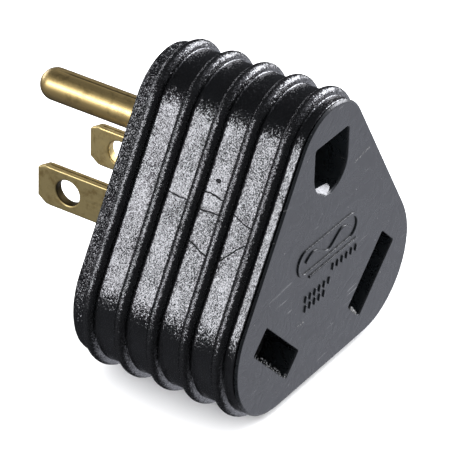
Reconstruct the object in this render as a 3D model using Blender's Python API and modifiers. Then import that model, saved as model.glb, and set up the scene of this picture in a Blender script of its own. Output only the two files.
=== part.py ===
"""Compact power adapter: a three-prong 15 A plug at the back feeds a 30 A receptacle at the front.

Metres, +Z up. The receptacle face looks towards -Y, the prongs point towards +Y and the ground is on top.
The origin is the middle of the footprint, at the level of the ribs that it rests on.
Lengths along Y are stations measured back from the receptacle face, and one empty carries them all.
"""

import math

import bmesh
import bpy
from mathutils import Matrix

MM = 0.001
GAP = 0.3 * MM
WELD = 0.001 * MM

# Body outline, seen from the front: the hull of one circle above and two below
TOP_RADIUS = 8.6 * MM
LOW_RADIUS = 10.95 * MM
LOW_HALF_SPACING = 11.1 * MM
CIRCLE_RISE = 23.05 * MM
ARC_STEPS = 12

# Jacket along Y
BODY_DEPTH = 27.1 * MM
RIB_COUNT = 5
RIB_HALF_WIDTH = 1.05 * MM
RIB_HEIGHT = 1.05 * MM
RIB_PITCH = 5.25 * MM
FIRST_RIB = 3.15 * MM
RIB_STEPS = 5
JACKET_WALL = 2.0 * MM
REAR_LIP = 1.2 * MM
REAR_LIP_DEPTH = 1.5 * MM
EDGE_ROUND = 0.3 * MM

# Heights
LOW_CENTRE_Z = RIB_HEIGHT + LOW_RADIUS
TOP_CENTRE_Z = LOW_CENTRE_Z + CIRCLE_RISE

# Receptacle
SLOT_HALF_SPACING = 12.1 * MM
SLOT_Z = 10.4 * MM
SLOT_LENGTH = 11.7 * MM
SLOT_WIDTH = 4.2 * MM
SLOT_TILT = math.radians(45)
GROUND_SLOT_Z = 34.25 * MM
GROUND_SLOT_RADIUS = 4.08 * MM
GROUND_SLOT_FLAT = 4.26 * MM

# Plug, at the standard 15 A spacing
BLADE_HALF_SPACING = 6.35 * MM
BLADE_WIDTH = 6.35 * MM
BLADE_THICKNESS = 1.52 * MM
BLADE_REACH = 16.7 * MM
BLADE_CLIP_Y = 1.5 * MM
BLADE_CLIP_Z = 0.9 * MM
BLADE_HOLE_REACH = 11.4 * MM
BLADE_HOLE_RADIUS = 1.98 * MM
BLADE_Z = 19.15 * MM
PIN_RISE = 11.89 * MM
PIN_RADIUS = 2.41 * MM
PIN_REACH = 20.7 * MM
PIN_Z = BLADE_Z + PIN_RISE

# Stations along Y
FLANGE_END = 0.5 * MM
FACE_CORE_END = 5.2 * MM
CARRIER_FRONT = FACE_CORE_END + GAP
CARRIER_END = 15.7 * MM
STRAP_FRONT = CARRIER_END + GAP
STRAP_THICKNESS = 1.0 * MM
FOOT_FRONT = STRAP_FRONT + STRAP_THICKNESS + GAP
FOOT_END = FOOT_FRONT + BLADE_THICKNESS
SPACER_END = FOOT_END
PLUG_FACE_FRONT = SPACER_END + GAP
PLUG_FACE_END = BODY_DEPTH + GAP
REAR_STEP = BODY_DEPTH - REAR_LIP_DEPTH
OVERALL_LENGTH = BODY_DEPTH + PIN_REACH
CORE_OFFSET = -(JACKET_WALL + GAP)

# Power contacts: half sections across the slot
LEAF_THICKNESS = 0.7 * MM
LEAF_WIDTH = 9.0 * MM
MOUTH_HALF = 2.0 * MM
WAIST_HALF = 1.1 * MM
BASE_HALF = 2.1 * MM
MOUTH_Y = 6.3 * MM
WAIST_FRONT = 7.9 * MM
WAIST_END = 10.7 * MM
SHOULDER_Y = 11.9 * MM
CONTACT_FLOOR_END = CARRIER_END
CONTACT_FLOOR_FRONT = CONTACT_FLOOR_END - LEAF_THICKNESS
POCKET_LENGTH = 11.4 * MM
POCKET_WIDTH = 5.6 * MM

# Ground contact
SLEEVE_BORE = 3.3 * MM
SLEEVE_OUTER = SLEEVE_BORE + LEAF_THICKNESS
SLEEVE_FRONT = 6.2 * MM
SLEEVE_SLIT = math.radians(50)
GROUND_POCKET_RADIUS = 5.1 * MM
GROUND_RIVET_RISE = 4.66 * MM
GROUND_RIVET_Z = PIN_Z + GROUND_RIVET_RISE

# Backing springs
SPRING_THICKNESS = 0.5 * MM
SPRING_WIDTH = 2.0 * MM
SPRING_SLIT = 1.2 * MM

# Straps and rivets
STRAP_HALF_WIDTH = 3.0 * MM
BLADE_RIVET_X = 9.75 * MM
FOOT_TIP_X = 12.2 * MM
RIVET_SHANK = 0.8 * MM
RIVET_HOLE = RIVET_SHANK + GAP
RIVET_HEAD = 1.4 * MM
RIVET_CROWN = 0.85 * MM
RIVET_HEAD_THICKNESS = 0.7 * MM
WINDOW_GAP = 0.4 * MM
RIVET_POCKET = RIVET_HEAD + WINDOW_GAP
SPIGOT_RADIUS = 1.5 * MM
COLLAR_RADIUS = 2.8 * MM

ROUND_STEPS = 24
SMOOTH_ANGLE = math.radians(35)
UPRIGHT = Matrix.Rotation(math.pi / 2, 4, "X")


def clear_scene():
    for old in list(bpy.data.objects):
        bpy.data.objects.remove(old)


def add_collection(name, hidden):
    collection = bpy.data.collections.new(name)
    collection.hide_render = hidden
    bpy.context.scene.collection.children.link(collection)
    return collection


clear_scene()
PARTS = add_collection("power_adapter", False)
CUTTERS = add_collection("cutters", True)
STATIONS = bpy.data.objects.new("stations", None)
STATIONS.location = (0, -OVERALL_LENGTH / 2, 0)
PARTS.objects.link(STATIONS)


# ---------------------------------------------------------------- materials


def finish(name, colour, roughness, metallic):
    material = bpy.data.materials.get(name) or bpy.data.materials.new(name)
    material.use_nodes = True
    shader = material.node_tree.nodes["Principled BSDF"]
    shader.inputs["Base Color"].default_value = (*colour, 1)
    shader.inputs["Roughness"].default_value = roughness
    shader.inputs["Metallic"].default_value = metallic
    return material


def textured_vinyl():
    return finish("textured_black_vinyl", (0.02, 0.021, 0.025), 0.45, 0)


def smooth_vinyl():
    return finish("smooth_black_vinyl", (0.03, 0.031, 0.035), 0.35, 0)


def core_plastic():
    return finish("black_core_plastic", (0.012, 0.012, 0.013), 0.55, 0)


def grey_plastic():
    return finish("grey_spacer_plastic", (0.2, 0.2, 0.21), 0.6, 0)


def satin_brass():
    return finish("satin_brass", (0.7, 0.52, 0.24), 0.3, 1)


def spring_brass():
    return finish("contact_brass", (0.66, 0.48, 0.2), 0.35, 1)


def bright_steel():
    return finish("spring_steel", (0.6, 0.61, 0.63), 0.25, 1)


# ---------------------------------------------------------------- outlines, as (x, z) points


def arc(centre, radius, start, end, steps):
    points = []
    for step in range(steps + 1):
        angle = start + (end - start) * step / steps
        points.append((centre[0] + radius * math.cos(angle), centre[1] + radius * math.sin(angle)))
    return points


def circle(centre, radius):
    return arc(centre, radius, 0, 2 * math.pi, ROUND_STEPS)[:-1]


def body_outline(offset):
    """The hull of the three circles, grown by offset."""
    lean = math.atan2(CIRCLE_RISE, -LOW_HALF_SPACING)
    reach = math.hypot(CIRCLE_RISE, LOW_HALF_SPACING)
    flank = lean - math.acos((LOW_RADIUS - TOP_RADIUS) / reach)
    right = (LOW_HALF_SPACING, LOW_CENTRE_Z)
    left = (-LOW_HALF_SPACING, LOW_CENTRE_Z)
    top = (0, TOP_CENTRE_Z)
    points = arc(right, LOW_RADIUS + offset, -math.pi / 2, flank, ARC_STEPS)
    points += arc(top, TOP_RADIUS + offset, flank, math.pi - flank, ARC_STEPS)
    points += arc(left, LOW_RADIUS + offset, math.pi - flank, math.pi * 3 / 2, ARC_STEPS)
    return points


def capsule(start, end, radius):
    """A strip with round ends from one point to another."""
    heading = math.atan2(end[1] - start[1], end[0] - start[0])
    quarter = math.pi / 2
    points = arc(end, radius, heading - quarter, heading + quarter, ROUND_STEPS // 2)
    points += arc(start, radius, heading + quarter, heading + 3 * quarter, ROUND_STEPS // 2)
    return points


def rectangle(centre, width, height, tilt=0):
    """A rectangle whose height leans from +Z towards +X by tilt."""
    points = []
    for across, along in ((-1, -1), (1, -1), (1, 1), (-1, 1)):
        x = across * width / 2
        z = along * height / 2
        turned_x = x * math.cos(tilt) + z * math.sin(tilt)
        turned_z = z * math.cos(tilt) - x * math.sin(tilt)
        points.append((centre[0] + turned_x, centre[1] + turned_z))
    return points


def ground_slot_outline():
    """A U with its flat end on top."""
    top = GROUND_SLOT_Z + GROUND_SLOT_FLAT
    points = [(GROUND_SLOT_RADIUS, top), (-GROUND_SLOT_RADIUS, top)]
    return points + arc((0, GROUND_SLOT_Z), GROUND_SLOT_RADIUS, math.pi, 2 * math.pi, ROUND_STEPS // 2)


def slot_centre(side):
    return (side * SLOT_HALF_SPACING, SLOT_Z)


# ---------------------------------------------------------------- solids


def place(shape, material):
    """Puts a finished piece on the stations, with its material."""
    PARTS.objects.link(shape)
    shape.parent = STATIONS
    shape.data.materials.clear()
    shape.data.materials.append(material)
    shape.data.shade_smooth()
    shape.data.set_sharp_from_angle(angle=SMOOTH_ANGLE)
    return shape


def place_cutter(shape):
    CUTTERS.objects.link(shape)
    shape.parent = STATIONS
    shape.hide_render = True
    shape.display_type = "WIRE"
    return shape


def combine(shape, tool, operation):
    place_cutter(tool)
    boolean = shape.modifiers.new(operation.lower() + "_" + tool.name, "BOOLEAN")
    boolean.operation = operation
    boolean.solver = "EXACT"
    boolean.object = tool


def cut(shape, cutter):
    combine(shape, cutter, "DIFFERENCE")


def join(shape, addition):
    combine(shape, addition, "UNION")


def mesh_from_curve(name, curve_object):
    """The curve as a mesh with its caps welded on."""
    bpy.context.scene.collection.objects.link(curve_object)
    graph = bpy.context.evaluated_depsgraph_get()
    mesh = bpy.data.meshes.new_from_object(curve_object.evaluated_get(graph))
    welded = bmesh.new()
    welded.from_mesh(mesh)
    bmesh.ops.remove_doubles(welded, verts=welded.verts, dist=WELD)
    bmesh.ops.recalc_face_normals(welded, faces=welded.faces)
    welded.to_mesh(mesh)
    welded.free()
    mesh.transform(curve_object.matrix_world)
    bpy.data.objects.remove(curve_object)
    return bpy.data.objects.new(name, mesh)


def extruded(name, loops, depth, frame):
    """Flat loops, the first one the outside and the others holes, drawn out by depth about the frame."""
    curve = bpy.data.curves.new(name, "CURVE")
    curve.dimensions = "2D"
    curve.fill_mode = "BOTH"
    curve.extrude = depth / 2
    for loop in loops:
        spline = curve.splines.new("POLY")
        spline.points.add(len(loop) - 1)
        for point, corner in zip(spline.points, loop):
            point.co = (*corner, 0, 1)
        spline.use_cyclic_u = True
    curve_object = bpy.data.objects.new(name + "_outline", curve)
    curve_object.matrix_world = frame
    return mesh_from_curve(name, curve_object)


def plate(name, loops, front, end):
    """A plate seen from the front as the loops, between two stations."""
    frame = Matrix.Translation((0, (front + end) / 2, 0)) @ UPRIGHT
    return extruded(name, loops, end - front, frame)


def loft(name, profile, is_tube):
    """The body outline carried through (station, offset) points: a solid, or a tube if the profile closes."""
    lofted = bmesh.new()
    rings = []
    for station, offset in profile:
        rings.append([lofted.verts.new((x, station, z)) for x, z in body_outline(offset)])
    pairs = list(zip(rings, rings[1:]))
    if is_tube:
        pairs.append((rings[-1], rings[0]))
    else:
        lofted.faces.new(rings[0])
        lofted.faces.new(reversed(rings[-1]))
    for near, far in pairs:
        for i in range(len(near)):
            before = i - 1
            lofted.faces.new((near[before], near[i], far[i], far[before]))
    bmesh.ops.recalc_face_normals(lofted, faces=lofted.faces)
    mesh = bpy.data.meshes.new(name)
    lofted.to_mesh(mesh)
    lofted.free()
    return bpy.data.objects.new(name, mesh)


def folded_sheet(name, path, width, thickness, frame):
    """Sheet metal bent along a path in the frame's XY plane, width deep along its Z."""
    sheet = bmesh.new()
    near = [sheet.verts.new((x, y, -width / 2)) for x, y in path]
    edges = [sheet.edges.new(pair) for pair in zip(near, near[1:])]
    drawn = bmesh.ops.extrude_edge_only(sheet, edges=edges)["geom"]
    moved = [item for item in drawn if isinstance(item, bmesh.types.BMVert)]
    bmesh.ops.translate(sheet, verts=moved, vec=(0, 0, width))
    bmesh.ops.recalc_face_normals(sheet, faces=sheet.faces)
    mesh = bpy.data.meshes.new(name)
    sheet.to_mesh(mesh)
    sheet.free()
    mesh.transform(frame)
    shape = bpy.data.objects.new(name, mesh)
    solidify = shape.modifiers.new("sheet", "SOLIDIFY")
    solidify.thickness = thickness
    solidify.offset = 0
    solidify.use_even_offset = True
    return shape


def turned(name, profile, axis_x, axis_z):
    """A turned piece on an axis along Y, from (radius, station) points that run from front to back."""
    lathe = bmesh.new()
    points = [lathe.verts.new((radius, station, 0)) for radius, station in profile]
    edges = [lathe.edges.new(pair) for pair in zip(points, points[1:])]
    bmesh.ops.spin(
        lathe,
        geom=points + edges,
        cent=(0, 0, 0),
        axis=(0, 1, 0),
        angle=2 * math.pi,
        steps=ROUND_STEPS,
        use_merge=True,
    )
    bmesh.ops.remove_doubles(lathe, verts=lathe.verts, dist=WELD)
    bmesh.ops.recalc_face_normals(lathe, faces=lathe.faces)
    mesh = bpy.data.meshes.new(name)
    lathe.to_mesh(mesh)
    lathe.free()
    mesh.transform(Matrix.Translation((axis_x, 0, axis_z)))
    return bpy.data.objects.new(name, mesh)


def rivet_hole(name, centre):
    return plate(name, [circle(centre, RIVET_HOLE)], CARRIER_FRONT, PLUG_FACE_END)


# ---------------------------------------------------------------- plastic pieces


def jacket_profile():
    """Lands and round ribs with a narrow flat crest from front to back, then the stepped inside."""
    profile = [(FLANGE_END + GAP, 0)]
    crest = math.sin(math.pi * (RIB_STEPS // 2) / RIB_STEPS)
    for rib in range(RIB_COUNT):
        centre = FIRST_RIB + rib * RIB_PITCH
        for step in range(RIB_STEPS + 1):
            angle = math.pi * step / RIB_STEPS
            height = RIB_HEIGHT * math.sin(angle) / crest
            profile.append((centre - RIB_HALF_WIDTH * math.cos(angle), height))
    profile += [(BODY_DEPTH - EDGE_ROUND, 0), (BODY_DEPTH, -EDGE_ROUND)]
    lip = -JACKET_WALL - REAR_LIP
    profile += [(BODY_DEPTH, lip), (REAR_STEP, lip), (REAR_STEP, -JACKET_WALL)]
    profile.append((FLANGE_END + GAP, -JACKET_WALL))
    return profile


def make_jacket():
    place(loft("outer_jacket", jacket_profile(), True), textured_vinyl())


def make_receptacle_face():
    """A thin flange over the jacket's end, and a core that keys into it."""
    profile = [(0, -EDGE_ROUND), (EDGE_ROUND, 0), (FLANGE_END, 0)]
    profile += [(FLANGE_END, CORE_OFFSET), (FACE_CORE_END, CORE_OFFSET)]
    face = place(loft("receptacle_face", profile, False), smooth_vinyl())
    front = -FLANGE_END
    end = FACE_CORE_END + FLANGE_END
    for side, name in SIDES:
        slot = rectangle(slot_centre(side), SLOT_WIDTH, SLOT_LENGTH, side * SLOT_TILT)
        cut(face, plate(name + "_slot", [slot], front, end))
    cut(face, plate("ground_slot", [ground_slot_outline()], front, end))


def make_contact_carrier():
    """A block with a pocket for each contact, and recesses at the back for the blade rivets."""
    loops = [body_outline(CORE_OFFSET), circle((0, GROUND_SLOT_Z), GROUND_POCKET_RADIUS)]
    for side, _ in SIDES:
        loops.append(rectangle(slot_centre(side), POCKET_WIDTH, POCKET_LENGTH, side * SLOT_TILT))
    carrier = place(plate("contact_carrier", loops, CARRIER_FRONT, CARRIER_END), core_plastic())
    recess_front = CARRIER_END - RIVET_HEAD_THICKNESS - 2 * GAP
    for side, name in SIDES:
        recess = circle((side * BLADE_RIVET_X, BLADE_Z), RIVET_POCKET)
        cut(carrier, plate(name + "_carrier_recess", [recess], recess_front, STRAP_FRONT))


def make_busbar_spacer():
    """A plate with one window for each strap and what is riveted to it."""
    spacer = plate("busbar_spacer", [body_outline(CORE_OFFSET)], STRAP_FRONT, SPACER_END)
    place(spacer, grey_plastic())
    front = STRAP_FRONT - STRAP_THICKNESS
    end = SPACER_END + STRAP_THICKNESS
    radius = STRAP_HALF_WIDTH + WINDOW_GAP
    for side, name in SIDES:
        blade_rivet = (side * BLADE_RIVET_X, BLADE_Z)
        strap = capsule(slot_centre(side), blade_rivet, radius)
        cut(spacer, plate(name + "_strap_window", [strap], front, end))
        inner = BLADE_HALF_SPACING - BLADE_THICKNESS / 2 - WINDOW_GAP
        outer = FOOT_TIP_X + WINDOW_GAP
        foot = rectangle((side * (inner + outer) / 2, BLADE_Z), outer - inner, BLADE_WIDTH + 2 * WINDOW_GAP)
        cut(spacer, plate(name + "_foot_window", [foot], front, end))
    window = capsule((0, PIN_Z), (0, GROUND_RIVET_Z), radius)
    cut(spacer, plate("ground_strap_window", [window], front, end))


def make_plug_face():
    """The rear bridge: stepped under the jacket's lip, with a slot for each blade and a hole for the pin."""
    neck = CORE_OFFSET - REAR_LIP
    profile = [(PLUG_FACE_FRONT, CORE_OFFSET), (REAR_STEP - GAP, CORE_OFFSET), (REAR_STEP - GAP, neck)]
    profile += [(PLUG_FACE_END - EDGE_ROUND, neck), (PLUG_FACE_END, neck - EDGE_ROUND)]
    bridge = place(loft("plug_face", profile, False), smooth_vinyl())
    front = PLUG_FACE_FRONT - STRAP_THICKNESS
    end = PLUG_FACE_END + STRAP_THICKNESS
    for side, name in SIDES:
        hole = rectangle(
            (side * BLADE_HALF_SPACING, BLADE_Z), BLADE_THICKNESS + 2 * GAP, BLADE_WIDTH + 2 * GAP
        )
        cut(bridge, plate(name + "_blade_hole", [hole], front, end))
        pocket = circle((side * BLADE_RIVET_X, BLADE_Z), RIVET_POCKET)
        pocket_end = FOOT_END + GAP + RIVET_HEAD_THICKNESS + GAP
        cut(bridge, plate(name + "_bridge_pocket", [pocket], front, pocket_end))
    cut(bridge, plate("pin_hole", [circle((0, PIN_Z), PIN_RADIUS + GAP)], front, end))


# ---------------------------------------------------------------- prongs


def make_blade(side, name):
    """A flat blade with clipped corners and a hole, and a foot that folds outwards under its strap."""
    tip = BODY_DEPTH + BLADE_REACH
    half = BLADE_WIDTH / 2
    outline = [(FOOT_FRONT, -half), (tip - BLADE_CLIP_Y, -half), (tip, BLADE_CLIP_Z - half)]
    outline += [(tip, half - BLADE_CLIP_Z), (tip - BLADE_CLIP_Y, half), (FOOT_FRONT, half)]
    hole = circle((BODY_DEPTH + BLADE_HOLE_REACH, 0), BLADE_HOLE_RADIUS)
    sideways = Matrix(((0, 0, 1, 0), (1, 0, 0, 0), (0, 1, 0, 0), (0, 0, 0, 1)))
    frame = Matrix.Translation((side * BLADE_HALF_SPACING, 0, BLADE_Z)) @ sideways
    blade = place(extruded(name + "_blade", [outline, hole], BLADE_THICKNESS, frame), satin_brass())
    inner = BLADE_HALF_SPACING
    foot = rectangle((side * (inner + FOOT_TIP_X) / 2, BLADE_Z), FOOT_TIP_X - inner, BLADE_WIDTH)
    join(blade, plate(name + "_foot", [foot], FOOT_FRONT, FOOT_END))
    cut(blade, rivet_hole(name + "_foot_hole", (side * BLADE_RIVET_X, BLADE_Z)))


def make_ground_pin():
    """A turned pin: spigot through the strap, collar, shank and domed tip."""
    tip = BODY_DEPTH + PIN_REACH
    spigot_front = STRAP_FRONT + GAP
    profile = [(0, spigot_front), (SPIGOT_RADIUS, spigot_front), (SPIGOT_RADIUS, FOOT_FRONT)]
    collar_end = SPACER_END - GAP
    profile += [(COLLAR_RADIUS, FOOT_FRONT), (COLLAR_RADIUS, collar_end), (PIN_RADIUS, collar_end)]
    for step in range(ROUND_STEPS // 4 + 1):
        angle = math.pi / 2 * step / (ROUND_STEPS // 4)
        profile.append((PIN_RADIUS * math.cos(angle), tip - PIN_RADIUS * (1 - math.sin(angle))))
    place(turned("ground_pin", profile, 0, PIN_Z), satin_brass())


# ---------------------------------------------------------------- contacts, straps and rivets


def make_power_contact(side, name):
    """Two leaves folded from one strip: a flared mouth, a waist that grips, and a floor for the rivet."""
    floor = CONTACT_FLOOR_END - LEAF_THICKNESS / 2
    half = [(MOUTH_HALF, MOUTH_Y), (WAIST_HALF, WAIST_FRONT), (WAIST_HALF, WAIST_END)]
    half += [(BASE_HALF, SHOULDER_Y), (BASE_HALF, floor)]
    path = [(-x, y) for x, y in half] + half[::-1]
    x, z = slot_centre(side)
    frame = Matrix.Translation((x, 0, z)) @ Matrix.Rotation(side * SLOT_TILT, 4, "Y")
    contact = folded_sheet(name + "_contact", path, LEAF_WIDTH, LEAF_THICKNESS, frame)
    place(contact, spring_brass())
    cut(contact, rivet_hole(name + "_contact_hole", (x, z)))


def make_power_spring(side, name):
    """A flat band round the waist of the leaves, open at one end."""
    across = WAIST_HALF + LEAF_THICKNESS / 2 + GAP + SPRING_THICKNESS / 2
    along = LEAF_WIDTH / 2 + GAP + SPRING_THICKNESS / 2
    path = [(SPRING_SLIT / 2, along), (across, along), (across, -along)]
    path += [(-across, -along), (-across, along), (-SPRING_SLIT / 2, along)]
    x, z = slot_centre(side)
    middle = (WAIST_FRONT + WAIST_END) / 2
    frame = Matrix.Translation((x, middle, z)) @ Matrix.Rotation(side * SLOT_TILT, 4, "Y") @ UPRIGHT
    spring = folded_sheet(name + "_contact_spring", path, SPRING_WIDTH, SPRING_THICKNESS, frame)
    place(spring, bright_steel())


def ring_path(radius):
    """A round path with its slit at the bottom."""
    slit_start = math.pi * 3 / 2 + SLEEVE_SLIT / 2
    return arc((0, 0), radius, slit_start, slit_start + 2 * math.pi - SLEEVE_SLIT, ROUND_STEPS)


def make_ground_contact():
    """A rolled sleeve with a slit, standing on a floor plate."""
    sleeve_end = (CONTACT_FLOOR_FRONT + CONTACT_FLOOR_END) / 2
    frame = Matrix.Translation((0, (SLEEVE_FRONT + sleeve_end) / 2, GROUND_SLOT_Z)) @ UPRIGHT
    radius = SLEEVE_BORE + LEAF_THICKNESS / 2
    sleeve = folded_sheet(
        "ground_contact", ring_path(radius), sleeve_end - SLEEVE_FRONT, LEAF_THICKNESS, frame
    )
    place(sleeve, spring_brass())
    disc = circle((0, GROUND_SLOT_Z), radius)
    join(sleeve, plate("ground_floor", [disc], CONTACT_FLOOR_FRONT, CONTACT_FLOOR_END))
    cut(sleeve, rivet_hole("ground_floor_hole", (0, GROUND_RIVET_Z)))


def make_ground_spring():
    radius = SLEEVE_OUTER + GAP + SPRING_THICKNESS / 2
    middle = (WAIST_FRONT + WAIST_END) / 2
    frame = Matrix.Translation((0, middle, GROUND_SLOT_Z)) @ UPRIGHT
    spring = folded_sheet("ground_contact_spring", ring_path(radius), SPRING_WIDTH, SPRING_THICKNESS, frame)
    place(spring, bright_steel())


def make_strap(name, start, end, end_hole):
    """A round-ended strap with a rivet hole at its start and a hole at its end."""
    loops = [capsule(start, end, STRAP_HALF_WIDTH), circle(start, RIVET_HOLE), circle(end, end_hole)]
    place(plate(name + "_strap", loops, STRAP_FRONT, STRAP_FRONT + STRAP_THICKNESS), satin_brass())


def make_rivet(name, centre, grip_front, grip_end):
    """A rivet with a domed head on each side of what it grips."""
    front = grip_front - GAP
    end = grip_end + GAP
    profile = [(0, front - RIVET_HEAD_THICKNESS), (RIVET_CROWN, front - RIVET_HEAD_THICKNESS)]
    profile += [(RIVET_HEAD, front - RIVET_HEAD_THICKNESS / 2), (RIVET_HEAD, front), (RIVET_SHANK, front)]
    profile += [(RIVET_SHANK, end), (RIVET_HEAD, end), (RIVET_HEAD, end + RIVET_HEAD_THICKNESS / 2)]
    profile += [(RIVET_CROWN, end + RIVET_HEAD_THICKNESS), (0, end + RIVET_HEAD_THICKNESS)]
    place(turned(name + "_rivet", profile, *centre), satin_brass())


def make_side(side, name):
    """Everything metal on one side, from the contact to the blade."""
    contact = slot_centre(side)
    blade_rivet = (side * BLADE_RIVET_X, BLADE_Z)
    make_power_contact(side, name)
    make_power_spring(side, name)
    make_strap(name, contact, blade_rivet, RIVET_HOLE)
    make_blade(side, name)
    make_rivet(name + "_contact", contact, CONTACT_FLOOR_FRONT, STRAP_FRONT + STRAP_THICKNESS)
    make_rivet(name + "_blade", blade_rivet, STRAP_FRONT, FOOT_END)


def make_ground():
    make_ground_contact()
    make_ground_spring()
    make_strap("ground", (0, GROUND_RIVET_Z), (0, PIN_Z), SPIGOT_RADIUS + GAP)
    make_ground_pin()
    make_rivet(
        "ground_contact", (0, GROUND_RIVET_Z), CONTACT_FLOOR_FRONT, STRAP_FRONT + STRAP_THICKNESS
    )


# The line side is on the left of someone who looks at the receptacle face, with the ground on top
SIDES = ((-1, "line"), (1, "neutral"))

make_jacket()
make_receptacle_face()
make_contact_carrier()
make_busbar_spacer()
make_plug_face()
for side_sign, side_name in SIDES:
    make_side(side_sign, side_name)
make_ground()
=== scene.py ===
"""Looks for the compact power adapter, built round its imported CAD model.

Metres, in the CAD's own frame: the receptacle face looks towards -Y, the prongs point towards +Y and
the ground is on top. Lengths along Y are stations measured back from the receptacle face, and flat
shapes are drawn as (x, z) points.
"""

import math
import random

import bmesh
import bpy
from mathutils import Matrix, Vector, noise


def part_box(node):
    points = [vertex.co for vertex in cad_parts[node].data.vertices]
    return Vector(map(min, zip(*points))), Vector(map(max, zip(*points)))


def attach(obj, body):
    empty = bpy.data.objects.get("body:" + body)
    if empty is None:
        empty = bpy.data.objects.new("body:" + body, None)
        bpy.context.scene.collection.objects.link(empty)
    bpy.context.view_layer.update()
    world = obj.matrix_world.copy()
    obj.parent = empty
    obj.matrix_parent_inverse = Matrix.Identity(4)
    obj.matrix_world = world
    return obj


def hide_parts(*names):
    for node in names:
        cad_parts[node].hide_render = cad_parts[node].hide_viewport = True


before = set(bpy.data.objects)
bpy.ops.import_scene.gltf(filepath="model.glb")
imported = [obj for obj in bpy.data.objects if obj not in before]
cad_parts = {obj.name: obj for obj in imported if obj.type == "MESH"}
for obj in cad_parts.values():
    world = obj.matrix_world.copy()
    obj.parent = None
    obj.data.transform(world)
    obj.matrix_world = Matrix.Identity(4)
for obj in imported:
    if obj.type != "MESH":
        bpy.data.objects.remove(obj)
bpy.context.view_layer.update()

MM = 0.001
FACE_LOW, FACE_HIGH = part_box("receptacle_face")
JACKET_LOW, JACKET_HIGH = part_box("outer_jacket")
BRIDGE_LOW, BRIDGE_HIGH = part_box("plug_face")
PIN_LOW, PIN_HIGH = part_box("ground_pin")
CARRIER_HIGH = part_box("contact_carrier")[1]

# Body outline, seen from the front: the hull of one circle above and two below
FRONT = FACE_LOW.y
LOW_RADIUS = 10.95 * MM
TOP_RADIUS = 8.6 * MM
HALF_SPACING = FACE_HIGH.x - LOW_RADIUS
LOW_Z = FACE_LOW.z + LOW_RADIUS
TOP_Z = FACE_HIGH.z - TOP_RADIUS

# Jacket
RIB_HEIGHT = FACE_LOW.z - JACKET_LOW.z
BODY_DEPTH = JACKET_HIGH.y - FRONT
RIB_COUNT = 5
FIRST_RIB = 3.15 * MM
RIB_PITCH = 5.25 * MM
RIB_RADIUS = 0.95 * MM
RIB_FOOT = 0.25 * MM
JACKET_FRONT = 0.72 * MM
REAR_ROUND = 0.45 * MM
WALL = 2.0 * MM
REAR_LIP = 1.2 * MM
REAR_LIP_DEPTH = 1.5 * MM
CORE_OFFSET = CARRIER_HIGH.x - FACE_HIGH.x

# Receptacle face
RELIEF = 0.2 * MM
FLANGE_END = 0.5 * MM
FACE_END = FACE_HIGH.y - FRONT
SLOT_X = 12.1 * MM
SLOT_Z = 10.4 * MM
SLOT_LENGTH = 11.7 * MM
SLOT_WIDTH = 4.2 * MM
SLOT_TILT = math.radians(45)
GROUND_SLOT_Z = 34.25 * MM
GROUND_SLOT_RADIUS = 4.08 * MM
GROUND_SLOT_FLAT = 4.26 * MM

# Prongs
BLADE_X = 6.35 * MM
BLADE_WIDTH = 6.35 * MM
BLADE_THICKNESS = 1.52 * MM
BLADE_Z = 19.15 * MM
BLADE_CLIP_Y = 1.5 * MM
BLADE_CLIP_Z = 0.9 * MM
BLADE_HOLE_REACH = 11.4 * MM
BLADE_HOLE_RADIUS = 1.98 * MM
FOOT_THICKNESS = 1.52 * MM
FOOT_HOLE_X = 9.75 * MM
FOOT_HOLE_RADIUS = 1.1 * MM
PIN_RADIUS = 2.41 * MM
PIN_COLLAR = PIN_HIGH.x
PIN_Z = (PIN_LOW.z + PIN_HIGH.z) / 2
SPIGOT_RADIUS = 1.5 * MM
PIN_SIDES = 160
PIN_SEAM_WIDTH = 0.055
PIN_SEAM_DEPTH = 0.12 * MM
CLEARANCE = 0.3 * MM

# Hairline creases on the left flank: (land counted from the face, height, slope), and one small pit
CREASES = (
    (3, 31.7, 0.1),
    (3, 29.7, -0.05),
    (4, 30.2, 0.05),
    (2, 30.0, 0.3),
    (2, 26.3, -1.0),
    (3, 25.3, 0.4),
)
PIT = (3, 33.4)

# The direction in which the right flank faces, up from +X
FLANK_LEAN = math.atan2(TOP_Z - LOW_Z, -HALF_SPACING)
FLANK_REACH = math.hypot(TOP_Z - LOW_Z, HALF_SPACING)
FLANK = FLANK_LEAN - math.acos((LOW_RADIUS - TOP_RADIUS) / FLANK_REACH)

SIDES = ((-1, "line"), (1, "neutral"))
UPRIGHT = Matrix.Rotation(math.pi / 2, 4, "X")
SIDEWAYS = Matrix(((0, 0, 1, 0), (1, 0, 0, 0), (0, 1, 0, 0), (0, 0, 0, 1)))
CUTTERS = []


# ---------------------------------------------------------------- materials


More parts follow.
